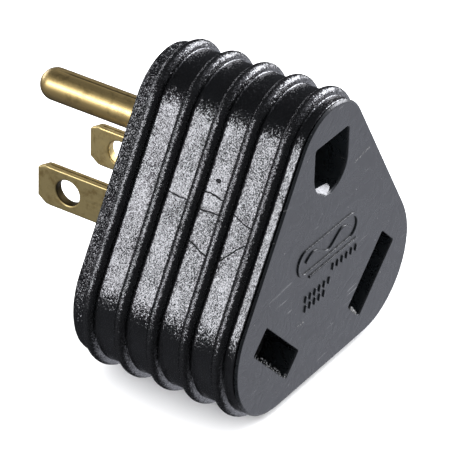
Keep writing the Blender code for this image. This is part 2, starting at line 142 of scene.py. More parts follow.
class Look:
    """One procedural material, built node by node on object coordinates in metres."""

    def __init__(self, name, metallic=0.0, specular=0.5):
        self.material = bpy.data.materials.new(name)
        self.material.use_nodes = True
        self.tree = self.material.node_tree
        self.shader = self.tree.nodes["Principled BSDF"]
        self.shader.inputs["Metallic"].default_value = metallic
        self.shader.inputs["Specular IOR Level"].default_value = specular
        self.place = self.tree.nodes.new("ShaderNodeTexCoord").outputs["Object"]

    def node(self, kind, inputs, **settings):
        made = self.tree.nodes.new(kind)
        for key, value in settings.items():
            setattr(made, key, value)
        for key, value in inputs.items():
            self.feed(made.inputs[key], value)
        return made

    def feed(self, socket, value):
        if isinstance(value, bpy.types.NodeSocket):
            self.tree.links.new(value, socket)
        else:
            socket.default_value = value

    def warped(self, amount, size):
        """The place, pushed about by a soft noise."""
        inputs = {"Vector": self.place, "Scale": 1 / size, "Detail": 2.0}
        soft = self.node("ShaderNodeTexNoise", inputs).outputs["Color"]
        return self.pushed(self.place, soft, amount)

    def stretched(self, scale, turn=(0, 0, 0), place=None):
        inputs = {"Vector": place or self.place, "Rotation": turn, "Scale": scale}
        return self.node("ShaderNodeMapping", inputs).outputs[0]

    def noise(self, size, detail=3.0, rough=0.5, place=None, distortion=0.0):
        inputs = {"Vector": place or self.place, "Scale": 1 / size, "Detail": detail}
        inputs.update({"Roughness": rough, "Distortion": distortion})
        return self.node("ShaderNodeTexNoise", inputs).outputs["Fac"]

    def cells(self, size, place=None, output="Distance"):
        inputs = {"Vector": place or self.place, "Scale": 1 / size}
        return self.node("ShaderNodeTexVoronoi", inputs).outputs[output]

    def ramp(self, value, low, high, to_low=0.0, to_high=1.0):
        inputs = {"Value": value, "From Min": low, "From Max": high}
        inputs.update({"To Min": to_low, "To Max": to_high})
        return self.node("ShaderNodeMapRange", inputs, interpolation_type="SMOOTHSTEP").outputs[0]

    def maths(self, operation, first, second=0.0):
        return self.node("ShaderNodeMath", {0: first, 1: second}, operation=operation).outputs[0]

    def blend(self, factor, first, second):
        mix = self.node("ShaderNodeMix", {"Factor": factor}, data_type="RGBA")
        colours = [socket for socket in mix.inputs if socket.type == "RGBA"]
        self.feed(colours[0], first)
        self.feed(colours[1], second)
        return [socket for socket in mix.outputs if socket.type == "RGBA"][0]

    def attribute(self, name):
        return self.node("ShaderNodeAttribute", {}, attribute_name=name).outputs["Fac"]

    def vector(self, operation, inputs, output=0):
        return self.node("ShaderNodeVectorMath", inputs, operation=operation).outputs[output]

    def pushed(self, start, colour, amount):
        """The start, moved by a colour less its middle grey, times the amount."""
        centred = self.vector("SUBTRACT", {0: colour, 1: (0.5, 0.5, 0.5)})
        scaled = self.vector("SCALE", {0: centred, "Scale": amount})
        return self.vector("ADD", {0: start, 1: scaled})

    def bump(self, height, depth, over=None):
        inputs = {"Height": height, "Distance": depth, "Strength": 1.0}
        if over is not None:
            inputs["Normal"] = over
        return self.node("ShaderNodeBump", inputs).outputs[0]

    def facets(self, size, amount, over):
        """The normal tilted by a random amount in each small cell, as in a glittering grain."""
        tilted = self.pushed(over, self.cells(size, output="Color"), amount)
        return self.vector("NORMALIZE", {0: tilted})

    def finish(self, colour, roughness, normal=None):
        self.feed(self.shader.inputs["Base Color"], colour)
        self.feed(self.shader.inputs["Roughness"], roughness)
        if normal is not None:
            self.feed(self.shader.inputs["Normal"], normal)
        return self.material


def grey(value, blue=1.0):
    return (value, value * (1 + (blue - 1) / 2), value * blue, 1)


def on_left_flank(land, height):
    """The point of the left flank at a height, in the middle of a land."""
    across = HALF_SPACING * math.cos(FLANK) + LOW_RADIUS - (height * MM - LOW_Z) * math.sin(FLANK)
    return Vector((-across / math.cos(FLANK), FRONT + FIRST_RIB + (land - 1.5) * RIB_PITCH, height * MM))


def flank_creases(look):
    """One where a hairline crease or the pit is, else nought. A place without a slope is the pit."""
    wobbly = look.warped(0.7 * MM, 1.6 * MM)
    uphill = Vector((math.sin(FLANK), 0, math.cos(FLANK)))
    marks = None
    for land, height, slope in CREASES + ((*PIT, None),):
        centre = on_left_flank(land, height)
        offset = look.vector("SUBTRACT", {0: wobbly, 1: tuple(centre)})
        length = look.vector("LENGTH", {0: offset}, "Value")
        if slope is None:
            mark = look.ramp(length, 0.2 * MM, 0.38 * MM, 1.0, 0.0)
        else:
            across = (uphill - Vector((0, slope, 0))).normalized()
            dot = look.vector("DOT_PRODUCT", {0: offset, 1: tuple(across)}, "Value")
            line = look.ramp(look.maths("ABSOLUTE", dot), 0.05 * MM, 0.11 * MM, 1.0, 0.0)
            mark = look.maths("MULTIPLY", line, look.ramp(length, 1.6 * MM, 2.3 * MM, 1.0, 0.0))
        marks = mark if marks is None else look.maths("MAXIMUM", marks, mark)
    return marks


def textured_vinyl():
    """Spark-eroded black vinyl: a glittering grain, streaked ribs, hairline creases, clouds and dust."""
    look = Look("textured_vinyl", specular=1.0)
    lands = look.attribute("grain")
    clouds = look.noise(4.2 * MM, 3.0, 0.6, place=look.warped(3 * MM, 6 * MM))
    swell = look.noise(0.5 * MM, 2.0, 0.6)
    streaks = look.noise(1.0, 3.0, 0.6, place=look.stretched((300, 2600, 300)))
    ribs = look.maths("MULTIPLY", streaks, look.ramp(lands, 0.2, 0.9, 1.0, 0.0))
    crease = look.maths("MULTIPLY", flank_creases(look), look.ramp(lands, 0.7, 0.9))
    normal = look.bump(swell, 0.006 * MM)
    normal = look.bump(ribs, 0.01 * MM, over=normal)
    normal = look.bump(look.maths("SUBTRACT", 1.0, crease), 0.15 * MM, over=normal)
    depth = look.node("ShaderNodeSeparateXYZ", {0: look.place}).outputs["Y"]
    rear = look.ramp(depth, JACKET_HIGH.y - 3.0 * MM, JACKET_HIGH.y - 1.8 * MM)
    patchy = look.ramp(clouds, 0.3, 0.7, 1.25, 0.75)
    tilt = look.maths("MULTIPLY", look.ramp(lands, 0.2, 1.0, 0.3, 0.24), patchy)
    tilt = look.maths("MULTIPLY", tilt, look.ramp(rear, 0.0, 1.0, 1.0, 2.9))
    normal = look.facets(0.16 * MM, tilt, normal)
    normal = look.facets(0.1 * MM, look.maths("MULTIPLY", tilt, 1.1), normal)
    dust = look.ramp(look.cells(0.9 * MM), 0.03, 0.06, 1.0, 0.0)
    dust = look.maths("MULTIPLY", dust, look.ramp(look.noise(3 * MM, 1.0), 0.55, 0.62))
    colour = look.blend(look.ramp(clouds, 0.3, 0.7), grey(0.0008, 1.6), grey(0.0014, 1.6))
    colour = look.blend(dust, colour, grey(0.12))
    rough = look.ramp(look.noise(0.5 * MM, 2.0), 0.3, 0.7, 0.15, 0.2)
    rough = look.maths("ADD", rough, look.ramp(lands, 0.2, 0.9, 0.08, 0.0))
    rough = look.maths("ADD", rough, look.maths("MULTIPLY", crease, 0.6))
    return look.finish(colour, rough, normal)


def smooth_vinyl():
    """Polished black vinyl of the faces: flow marks, hair scratches, dust, whitened torn flash, and white
    chips that paint a glint.
    """
    look = Look("smooth_vinyl")
    swirl = look.noise(2.4 * MM, 2.0, 0.5, place=look.warped(12 * MM, 9 * MM), distortion=1.6)
    soft = look.noise(9 * MM, 2.0, 0.5)
    fine = look.noise(0.16 * MM, 2.0, 0.6)
    lines = look.stretched((90, 90, 2600), (0.2, 0.95, 0.1), look.warped(1.2 * MM, 8 * MM))
    scratch = look.ramp(look.noise(1.0, 1.0, 0.5, place=lines), 0.7, 0.74)
    scratch = look.maths("MULTIPLY", scratch, look.ramp(look.noise(5 * MM, 1.0), 0.52, 0.6))
    normal = look.bump(fine, 0.013 * MM)
    normal = look.bump(swirl, 0.035 * MM, over=normal)
    normal = look.bump(scratch, 0.004 * MM, over=normal)
    dust = look.ramp(look.cells(1.2 * MM), 0.035, 0.06, 1.0, 0.0)
    dust = look.maths("MULTIPLY", dust, look.ramp(look.noise(4 * MM, 1.0), 0.5, 0.6))
    flow = look.maths("MULTIPLY", look.maths("ADD", soft, swirl), 0.5)
    colour = look.blend(look.ramp(flow, 0.35, 0.65), grey(0.002, 1.5), grey(0.006, 1.5))
    colour = look.blend(look.ramp(fine, 0.35, 0.65), colour, grey(0.006, 1.5))
    colour = look.blend(look.maths("MULTIPLY", scratch, 0.4), colour, grey(0.16))
    # Painted highlight: the white chips at the neutral slot's lower end stand in for a glint; the other
    # chips are whitened torn flash and scuffs.
    whitening_and_glint = look.maths("MULTIPLY", look.attribute("whitening_and_glint"), look.ramp(fine, 0.4, 0.6, 0.35, 1.0))
    colour = look.blend(dust, colour, grey(0.25))
    colour = look.blend(whitening_and_glint, colour, grey(0.24))
    rough = look.maths("ADD", look.ramp(swirl, 0.3, 0.7, 0.24, 0.34), look.maths("MULTIPLY", whitening_and_glint, 0.2))
    return look.finish(colour, rough, normal)


def brass(name, base, dark, rough_low, coat=0.0):
    """Satin brass with fine drawing lines along Y, tarnish and small dents, painted shade at edges seen at
    a grazing angle, and painted shade where a piece marks it.
    """
    look = Look(name, metallic=1.0)
    look.shader.inputs["Coat Weight"].default_value = coat
    look.shader.inputs["Coat Roughness"].default_value = 0.22
    lines = look.noise(1.0, 3.0, 0.6, place=look.stretched((5200, 160, 5200)))
    tarnish = look.noise(1.8 * MM, 4.0, 0.65, place=look.warped(1.5 * MM, 2 * MM))
    darkening = look.maths("MULTIPLY", look.ramp(tarnish, 0.45, 0.72), 0.8)
    spots = look.ramp(look.cells(0.8 * MM), 0.05, 0.13, 1.0, 0.0)
    spots = look.maths("MULTIPLY", spots, look.ramp(tarnish, 0.5, 0.6))
    dents = look.ramp(look.cells(1.7 * MM, place=look.warped(1 * MM, 1 * MM)), 0.04, 0.12, 0.0, 1.0)
    colour = look.blend(look.maths("MAXIMUM", darkening, look.maths("MULTIPLY", spots, 0.7)), base, dark)
    # Painted shade: the colour darkens towards the dark brass at edges seen at a grazing angle.
    grazing_shade = look.node("ShaderNodeLayerWeight", {"Blend": 0.5}).outputs["Facing"]
    colour = look.blend(look.ramp(grazing_shade, 0.45, 0.95, 0.0, 0.8), colour, dark)
    # Painted shade where a piece marks it: seam grooves, hole walls and the line blade all over.
    painted_shade = look.attribute("darkening")
    colour = look.blend(painted_shade, colour, (0.02, 0.012, 0.004, 1))
    rough = look.ramp(lines, 0.3, 0.7, rough_low, 0.5)
    rough = look.maths("ADD", rough, look.maths("MULTIPLY", painted_shade, 0.2))
    normal = look.bump(lines, 0.0008 * MM)
    normal = look.bump(dents, 0.003 * MM, over=normal)
    return look.finish(colour, rough, normal)


def spring_steel():
    """Bright steel strip with fine rolling lines along Y."""
    look = Look("spring_steel", metallic=1.0)
    lines = look.noise(1.0, 3.0, 0.6, place=look.stretched((5200, 300, 5200)))
    tint = look.noise(2 * MM, 3.0, 0.6)
    colour = look.blend(look.ramp(tint, 0.35, 0.7), (0.6, 0.6, 0.61, 1), (0.42, 0.4, 0.36, 1))
    return look.finish(colour, look.ramp(lines, 0.3, 0.7, 0.18, 0.36), look.bump(lines, 0.002 * MM))


def moulded_plastic(name, low, high, blue):
    """Matt moulded plastic with a fine orange peel, flow clouds and pale dust."""
    look = Look(name)
    peel = look.noise(0.35 * MM, 3.0, 0.6)
    flow = look.noise(3 * MM, 3.0, 0.55, place=look.warped(4 * MM, 5 * MM))
    dust = look.ramp(look.cells(1.1 * MM), 0.02, 0.05, 1.0, 0.0)
    colour = look.blend(look.ramp(flow, 0.3, 0.7), grey(low, blue), grey(high, blue))
    colour = look.blend(look.maths("MULTIPLY", dust, 0.5), colour, grey(0.3))
    return look.finish(colour, look.ramp(flow, 0.3, 0.7, 0.45, 0.62), look.bump(peel, 0.012 * MM))


TEXTURED_VINYL = textured_vinyl()
SMOOTH_VINYL = smooth_vinyl()
CORE_PLASTIC = moulded_plastic("core_plastic", 0.01, 0.018, 1.1)
SPACER_PLASTIC = moulded_plastic("spacer_plastic", 0.16, 0.24, 1.06)
PRONG_BRASS = brass("prong_brass", (0.98, 0.79, 0.37, 1), (0.58, 0.4, 0.15, 1), 0.42)
PIN_BRASS = brass("pin_brass", (0.7, 0.52, 0.21, 1), (0.38, 0.27, 0.1, 1), 0.42, coat=0.7)
CONTACT_BRASS = brass("contact_brass", (0.72, 0.54, 0.25, 1), (0.48, 0.33, 0.13, 1), 0.36)
SPRING_STEEL = spring_steel()


# ---------------------------------------------------------------- outlines


def arc(centre, radius, start, end, steps):
    points = []
    for step in range(steps + 1):
        angle = start + (end - start) * step / steps
        points.append((centre[0] + radius * math.cos(angle), centre[1] + radius * math.sin(angle)))
    return points


def circle(centre, radius, steps=48):
    return arc(centre, radius, 0, 2 * math.pi, steps)[:-1]


def between(first, last, steps):
    """The points between two others, without them."""
    points = []
    for step in range(1, steps):
        share = step / steps
        points.append(tuple(a + (b - a) * share for a, b in zip(first, last)))
    return points


def body_outline(offset, arc_steps=40, flat_steps=34):
    """The hull of the three circles, grown by offset. The point count doesn't depend on the offset."""
    low = LOW_RADIUS + offset
    right = arc((HALF_SPACING, LOW_Z), low, -math.pi / 2, FLANK, arc_steps)
    top = arc((0, TOP_Z), TOP_RADIUS + offset, FLANK, math.pi - FLANK, arc_steps)
    left = arc((-HALF_SPACING, LOW_Z), low, math.pi - FLANK, math.pi * 3 / 2, arc_steps)
    points = right + between(right[-1], top[0], flat_steps)
    points += top + between(top[-1], left[0], flat_steps)
    return points + left + between(left[-1], right[0], flat_steps)


def rounded_rectangle(centre, width, height, tilt, corner, offset=0.0):
    """A rectangle whose height leans from +Z towards +X by tilt, grown by offset."""
    points = []
    for across, along, start in ((1, -1, -90), (1, 1, 0), (-1, 1, 90), (-1, -1, 180)):
        middle = (across * (width / 2 - corner), along * (height / 2 - corner))
        points += arc(middle, corner + offset, math.radians(start), math.radians(start + 90), 5)
    turned = []
    for x, z in points:
        turned_x = x * math.cos(tilt) + z * math.sin(tilt)
        turned_z = z * math.cos(tilt) - x * math.sin(tilt)
        turned.append((centre[0] + turned_x, centre[1] + turned_z))
    return turned


def ground_slot_outline(offset=0.0):
    """A U with its flat end on top."""
    corner = 0.35 * MM
    top = GROUND_SLOT_Z + GROUND_SLOT_FLAT - corner
    side = GROUND_SLOT_RADIUS - corner
    points = arc((side, top), corner + offset, 0, math.pi / 2, 4)
    points += arc((-side, top), corner + offset, math.pi / 2, math.pi, 4)
    return points + arc((0, GROUND_SLOT_Z), GROUND_SLOT_RADIUS + offset, math.pi, 2 * math.pi, 32)


def capsule(start, end, radius, steps=12):
    """A strip with round ends from one point to another."""
    heading = math.atan2(end[1] - start[1], end[0] - start[0])
    quarter = math.pi / 2
    points = arc(end, radius, heading - quarter, heading + quarter, steps)
    return points + arc(start, radius, heading + quarter, heading + 3 * quarter, steps)


# ---------------------------------------------------------------- meshes


def new_object(name, mesh):
    shape = bpy.data.objects.new(name, mesh)
    bpy.context.scene.collection.objects.link(shape)
    return shape


def object_from(name, made):
    """A new object from a bmesh, which is freed."""
    mesh = bpy.data.meshes.new(name)
    made.to_mesh(mesh)
    made.free()
    return new_object(name, mesh)


def loft(name, rings, closed):
    """Skins rings of (x, station, z) points.

    A closed loft joins its last ring to its first. Any other is capped.
    """
    made = bmesh.new()
    rows = [[made.verts.new((x, FRONT + station, z)) for x, station, z in ring] for ring in rings]
    pairs = list(zip(rows, rows[1:]))
    if closed:
        pairs.append((rows[-1], rows[0]))
    else:
        made.faces.new(rows[0])
        made.faces.new(reversed(rows[-1]))
    for near, far in pairs:
        for i in range(len(near)):
            made.faces.new((near[i - 1], near[i], far[i], far[i - 1]))
    bmesh.ops.recalc_face_normals(made, faces=made.faces)
    return object_from(name, made)


def ringed(name, profile, outline, closed=False):
    """A loft of one outline carried through (station, offset) points."""
    rings = []
    for station, offset in profile:
        rings.append([(x, station, z) for x, z in outline(offset)])
    return loft(name, rings, closed)


def from_curve(name, loops, depth, bevel, matrix, bevel_steps=3):
    """Flat loops drawn out to a depth about the matrix's plane, with rounded edges, as a mesh."""
    curve = bpy.data.curves.new(name, "CURVE")
    curve.dimensions = "2D"
    curve.fill_mode = "BOTH"
    curve.extrude = depth / 2 - bevel
    curve.bevel_depth = bevel
    curve.bevel_resolution = bevel_steps
    curve.offset = -bevel
    for loop in loops:
        spline = curve.splines.new("POLY")
        spline.points.add(len(loop) - 1)
        for point, corner in zip(spline.points, loop):
            point.co = (*corner, 0, 1)
        spline.use_cyclic_u = True
    holder = new_object(name + "_curve", curve)
    holder.matrix_world = matrix
    bpy.context.view_layer.update()
    graph = bpy.context.evaluated_depsgraph_get()
    mesh = bpy.data.meshes.new_from_object(holder.evaluated_get(graph))
    clean = bmesh.new()
    clean.from_mesh(mesh)
    bmesh.ops.remove_doubles(clean, verts=clean.verts, dist=0.0005 * MM)
    bmesh.ops.recalc_face_normals(clean, faces=clean.faces)
    clean.to_mesh(mesh)
    clean.free()
    mesh.transform(matrix)
    bpy.data.objects.remove(holder)
    return new_object(name, mesh)


def plate(name, loops, front, end, bevel=0.0):
    """A plate between two stations."""
    middle = Matrix.Translation((0, FRONT + (front + end) / 2, 0)) @ UPRIGHT
    return from_curve(name, loops, end - front, bevel, middle, 2)


def block(name, low, high):
    """A plain box between two corners."""
    made = bmesh.new()
    bmesh.ops.create_cube(made, size=1.0)
    size = Vector(high) - Vector(low)
    middle = (Vector(high) + Vector(low)) / 2
    stretch = Matrix.Translation(middle) @ Matrix.Diagonal((*size, 1))
    bmesh.ops.transform(made, matrix=stretch, verts=made.verts)
    return object_from(name, made)


def combine(shape, tool, operation):
    boolean = shape.modifiers.new(operation.lower(), "BOOLEAN")
    boolean.operation = operation
    boolean.solver = "EXACT"
    boolean.object = tool
    CUTTERS.append(tool)


def bake_modifiers(shape):
    """Makes the modifiers' result the mesh."""
    bpy.context.view_layer.update()
    graph = bpy.context.evaluated_depsgraph_get()
    mesh = bpy.data.meshes.new_from_object(shape.evaluated_get(graph))
    shape.modifiers.clear()
    shape.data = mesh


def store_values(shape, name, values):
    """Keeps a number at each vertex, for the material to read."""
    layer = shape.data.attributes.new(name, "FLOAT", "POINT")
    layer.data.foreach_set("value", values)


def settle(shape, material, node, flat_faces=True, angle=35):
    """Finishes a piece: modifiers applied, smooth shading, material, and the CAD node it replaces."""
    if shape.modifiers:
        bake_modifiers(shape)
    shape.data.materials.clear()
    shape.data.materials.append(material)
    for face in shape.data.polygons:
        face.material_index = 0
    shape.data.shade_smooth()
    shape.data.set_sharp_from_angle(angle=math.radians(angle))
    if flat_faces:
        weighted = shape.modifiers.new("flat_faces", "WEIGHTED_NORMAL")
        weighted.keep_sharp = True
        weighted.weight = 100
    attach(shape, "root")
    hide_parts(node)
    return shape


# ---------------------------------------------------------------- plastic pieces


def rib_profile(centre):
    """A round rib on small foot fillets, as (station, offset) points."""
    middle = RIB_HEIGHT - RIB_RADIUS
    span = math.sqrt((RIB_RADIUS + RIB_FOOT) ** 2 - (RIB_FOOT - middle) ** 2)
    touch = math.atan2(RIB_FOOT - middle, span)
    fillet = []
    for step in range(5):
        angle = -math.pi / 2 + (touch + math.pi / 2) * step / 4
        fillet.append((-span + RIB_FOOT * math.cos(angle), RIB_FOOT + RIB_FOOT * math.sin(angle)))
    crown = []
    for step in range(1, 16):
        angle = math.pi - touch - (math.pi - 2 * touch) * step / 16
        crown.append((RIB_RADIUS * math.cos(angle), middle + RIB_RADIUS * math.sin(angle)))
    whole = fillet + crown + [(-station, offset) for station, offset in reversed(fillet)]
    return [(centre + station, offset) for station, offset in whole]


def jacket_profile():
    """The (station, offset, grain) points of the skin, from front to back, then of the stepped inside."""
    start = 0.15 * MM
    profile = [(JACKET_FRONT, -start, 0.3), (JACKET_FRONT + 0.05 * MM, -0.04 * MM, 0.6)]
    profile.append((JACKET_FRONT + start, 0.0, 1.0))
    previous = JACKET_FRONT + start
    for rib in range(RIB_COUNT):
        points = rib_profile(FIRST_RIB + rib * RIB_PITCH)
        land = between((previous,), (points[0][0],), 11)
        profile += [(station, 0.0, 1.0) for (station,) in land]
        for station, offset in points:
            profile.append((station, offset, 1.0 - 0.75 * min(1.0, offset / (0.45 * RIB_HEIGHT))))
        previous = points[-1][0]
    last = BODY_DEPTH - REAR_ROUND
    profile += [(station, 0.0, 1.0) for (station,) in between((previous,), (last,), 6)]
    for step in range(7):
        angle = math.pi / 2 * step / 6
        station = last + REAR_ROUND * math.sin(angle)
        profile.append((station, -REAR_ROUND * (1 - math.cos(angle)), 1.0 - 0.6 * step / 6))
    lip = -WALL - REAR_LIP
    profile += [(BODY_DEPTH, lip / 2, 0.5), (BODY_DEPTH, lip + start, 0.5)]
    profile.append((BODY_DEPTH - start, lip, 0.3))
    profile += [(BODY_DEPTH - REAR_LIP_DEPTH, lip, 0.3), (BODY_DEPTH - REAR_LIP_DEPTH, -WALL, 0.3)]
    profile.append((JACKET_FRONT, -WALL, 0.3))
    return profile


def unevenness(point):
    """How far moulding shrinkage sinks the jacket's skin here: never outwards."""
    slow = noise.noise(point / (5.5 * MM))
    quick = noise.noise(point / (1.3 * MM) + Vector((7, 3, 1)))
    return (0.5 + 0.5 * slow) * 0.045 * MM + (0.5 + 0.5 * quick) * 0.02 * MM


def make_jacket():
    profile = jacket_profile()
    rings = []
    for station, offset, _ in profile:
        ring = []
        outside = offset > -REAR_ROUND * 1.01
        for (x, z), (far_x, far_z) in zip(body_outline(offset), body_outline(offset + MM)):
            if outside:
                sink = unevenness(Vector((x, station, z))) / MM
                x -= (far_x - x) * sink
                z -= (far_z - z) * sink
            ring.append((x, station, z))
        rings.append(ring)
    jacket = loft("outer_jacket_skin", rings, True)
    grain = []
    for ring, (_, _, amount) in zip(rings, profile):
        grain += [amount] * len(ring)
    store_values(jacket, "grain", grain)
    return settle(jacket, TEXTURED_VINYL, "outer_jacket", flat_faces=False, angle=50)


# A slot's rounded mouth, as (station, offset) points in millimetres
MOUTH = ((-0.6, 0.55), (RELIEF / MM, 0.22), (0.24, 0.12), (0.32, 0.05), (0.44, 0.01), (0.6, 0.0))


def slot_cutter(name, outline, mouth=1.0):
    """A slot from in front of the face to behind its core, with a rounded mouth."""
    profile = [(station * MM, offset * mouth * MM) for station, offset in MOUTH]
    profile.append((FACE_END + MM, 0.0))
    return ringed(name, profile, outline)


def emblem():
    """Plain raised marks: a cartouche with a wave, an underline and rows of pips."""
    low = RELIEF + 0.35 * MM
    marks = []
    centre = (0.0, 21.6 * MM)
    half = 5.6 * MM
    swing = 0.85 * MM
    ends = ((centre[0] - half, centre[1]), (centre[0] + half, centre[1]))
    ring = [capsule(*ends, 2.1 * MM, 20), capsule(*ends, 1.6 * MM, 20)]
    marks.append(plate("cartouche", ring, 0.0, low, 0.1 * MM))
    upper, lower = [], []
    for step in range(49):
        share = step / 48
        x = centre[0] - half + 2 * half * share
        phase = share * math.pi * 3
        z = centre[1] + swing * math.sin(phase)
        slope = math.cos(phase) * swing * math.pi * 3 / (2 * half)
        reach = 0.21 * MM / math.hypot(1, slope)
        upper.append((x - slope * reach, z + reach))
        lower.append((x + slope * reach, z - reach))
    marks.append(plate("wave", [lower + upper[::-1]], 0.0, low, 0.1 * MM))
    line = capsule((-4.4 * MM, 18.75 * MM), (7.5 * MM, 18.75 * MM), 0.2 * MM)
    marks.append(plate("underline", [line], 0.0, low, 0.09 * MM))
    for row_z, first_x, count in ((17.2, 1.6, 6), (15.4, -5.2, 6), (13.9, -5.2, 5)):
        for index in range(count):
            x = (first_x + index * 1.18) * MM
            bar = capsule((x, (row_z - 0.32) * MM), (x + 0.12 * MM, (row_z + 0.32) * MM), 0.24 * MM, 6)
            marks.append(plate("pip", [bar], 0.0, low, 0.09 * MM))
    return marks


# Rows of small chips, as (start, end, count, least size) in millimetres: two dotted scuffs on the
# face, then white chips at the lower end of the neutral slot, a painted glint
SCUFFS_AND_GLINT = (
    ((6.2, 31.7), (9.9, 32.3), 16, 0.12),
    ((-7.4, 12.0), (-5.1, 11.95), 8, 0.1),
    ((7.0, 7.3), (8.6, 5.7), 16, 0.2),
)
FLASH_CHIPS = 90


def chip_places():
    """The (x, z, size, whiteness) of each chip: the torn flash under the line slot, then the scuffs, then
    the painted glint at the neutral slot.
    """
    rough = random.Random(5)
    edge = Vector((-SLOT_X, SLOT_Z)) + Vector((-0.707, -0.707)) * (SLOT_WIDTH / 2)
    along = Vector((0.707, -0.707))
    places = []
    for _ in range(FLASH_CHIPS):
        reach = (rough.random() - 0.5) * SLOT_LENGTH * 0.96
        middle = edge + along * reach + Vector((0.707, 0.707)) * rough.uniform(-0.15, 0.45) * MM
        places.append((middle.x, middle.y, rough.uniform(0.05, 0.15) * MM, rough.random() ** 2))
    for start, end, count, least in SCUFFS_AND_GLINT:
        for step in range(count):
            share = (step + rough.random()) / count
            x = start[0] + (end[0] - start[0]) * share + rough.uniform(-0.12, 0.12)
            z = start[1] + (end[1] - start[1]) * share + rough.uniform(-0.12, 0.12)
            size = rough.uniform(least, 1.6 * least) * MM
            places.append((x * MM, z * MM, size, rough.uniform(0.7, 1.0)))
    return places


def add_chips(face):
    """Joins small crumpled chips to the face, marked with their whiteness: torn flash, scuffs and a
    painted glint.
    """
    rough = random.Random(8)
    joined = bmesh.new()
    joined.from_mesh(face.data)
    whitening_and_glint = joined.verts.layers.float.new("whitening_and_glint")
    for x, z, size, whitened in chip_places():
        made = bmesh.ops.create_icosphere(joined, subdivisions=1, radius=size)["verts"]
        turn = Matrix.Rotation(rough.random() * math.pi, 3, "Y")
        for vertex in made:
            vertex.co *= rough.uniform(0.6, 1.1)
            vertex.co = turn @ Vector((vertex.co.x * 1.3, vertex.co.y * 0.7, vertex.co.z * 0.7))
            vertex.co += Vector((x, FRONT + RELIEF + 0.2 * size, z))
            vertex.co.y = max(vertex.co.y, FRONT + 0.02 * MM)
            vertex[whitening_and_glint] = whitened
    joined.to_mesh(face.data)
    joined.free()


def wedge_in_ground_slot():
    """The glossy lead-in at the foot of the ground slot."""
    foot = GROUND_SLOT_Z - GROUND_SLOT_RADIUS - 0.12 * MM
    run = 1.15 * MM
    rise = 0.9 * MM
    rings = []
    for x, lift in ((-2.5 * MM, 0.3 * MM), (0.9 * MM, -0.3 * MM)):
        low = foot + lift
        side = [(RELIEF, low), (RELIEF + run, low + rise), (RELIEF + run + 1.2 * MM, low + rise)]
        side += [(RELIEF + run + 1.8 * MM, foot - 0.8 * MM), (RELIEF, foot - 0.8 * MM)]
        rings.append([(x, station, z) for station, z in side])
    return loft("wedge", rings, False)


def make_receptacle_face():
    """A thin flange over the jacket's end, and a core that keys into it."""
    edge = 0.32 * MM
    soft = 0.05 * MM
    profile = [(RELIEF, -edge - soft), (RELIEF + 0.01 * MM, -edge), (RELIEF + soft, -edge + soft)]
    profile += [(FLANGE_END - soft, -soft)]
    profile += [(FLANGE_END, 0.0), (FLANGE_END + 0.03 * MM, -0.05 * MM)]
    profile += [(FLANGE_END + 0.03 * MM, CORE_OFFSET), (FACE_END, CORE_OFFSET)]
    face = ringed("receptacle_face_skin", profile, body_outline)
    for side, name in SIDES:
        def slot(offset, side=side):
            return rounded_rectangle(
                (side * SLOT_X, SLOT_Z), SLOT_WIDTH, SLOT_LENGTH, side * SLOT_TILT, 0.3 * MM, offset
            )
        combine(face, slot_cutter(name + "_slot_cutter", slot), "DIFFERENCE")
    combine(face, slot_cutter("ground_slot_cutter", ground_slot_outline, 1.4), "DIFFERENCE")
    for mark in emblem():
        combine(face, mark, "UNION")
    combine(face, wedge_in_ground_slot(), "UNION")
    bake_modifiers(face)
    add_chips(face)
    return settle(face, SMOOTH_VINYL, "receptacle_face")


def make_plug_face():
    """The rear bridge under the jacket's lip, with a shallow dish round each prong and ejector marks."""
    start = BRIDGE_LOW.y - FRONT
    end = BRIDGE_HIGH.y - FRONT
    step_at = BODY_DEPTH - REAR_LIP_DEPTH - CLEARANCE
    neck = CORE_OFFSET - REAR_LIP + 0.12 * MM
    edge = 0.3 * MM
    profile = [(start, CORE_OFFSET), (step_at, CORE_OFFSET), (step_at, neck), (end - edge, neck)]
    for step in range(1, 5):
        angle = math.pi / 2 * step / 4
        profile.append((end - edge * (1 - math.sin(angle)), neck - edge * (1 - math.cos(angle))))
    bridge = ringed("plug_face_skin", profile, body_outline)
    front = start - MM
    back = end + MM
    dish = end - 0.35 * MM
    for side, name in SIDES:
        x = side * BLADE_X
        for kind, grow, corner, from_station in (
            ("_blade_hole", 0.3 * MM, 0.1 * MM, front),
            ("_dish", 2.0 * MM, 0.9 * MM, dish),
        ):
            ring = rounded_rectangle(
                (x, BLADE_Z), BLADE_THICKNESS + grow, BLADE_WIDTH + grow, 0, corner
            )
            combine(bridge, plate(name + kind, [ring], from_station, back), "DIFFERENCE")
        pocket = circle((side * FOOT_HOLE_X, BLADE_Z), 1.8 * MM)
        combine(bridge, plate(name + "_pocket", [pocket], front, start + 1.3 * MM), "DIFFERENCE")
        mark = circle((side * 12.5 * MM, 10.4 * MM), 1.7 * MM)
        combine(bridge, plate(name + "_ejector", [mark], end - 0.12 * MM, back), "DIFFERENCE")
    for name, place, radius, from_station in (
        ("pin_hole", PIN_Z, PIN_RADIUS + 0.15 * MM, front),
        ("pin_dish", PIN_Z, PIN_RADIUS + 1.1 * MM, dish),
        ("gate_mark", 11.5 * MM, 0.9 * MM, end - 0.2 * MM),
    ):
        combine(bridge, plate(name, [circle((0, place), radius)], from_station, back), "DIFFERENCE")
    return settle(bridge, SMOOTH_VINYL, "plug_face")


# ---------------------------------------------------------------- prongs


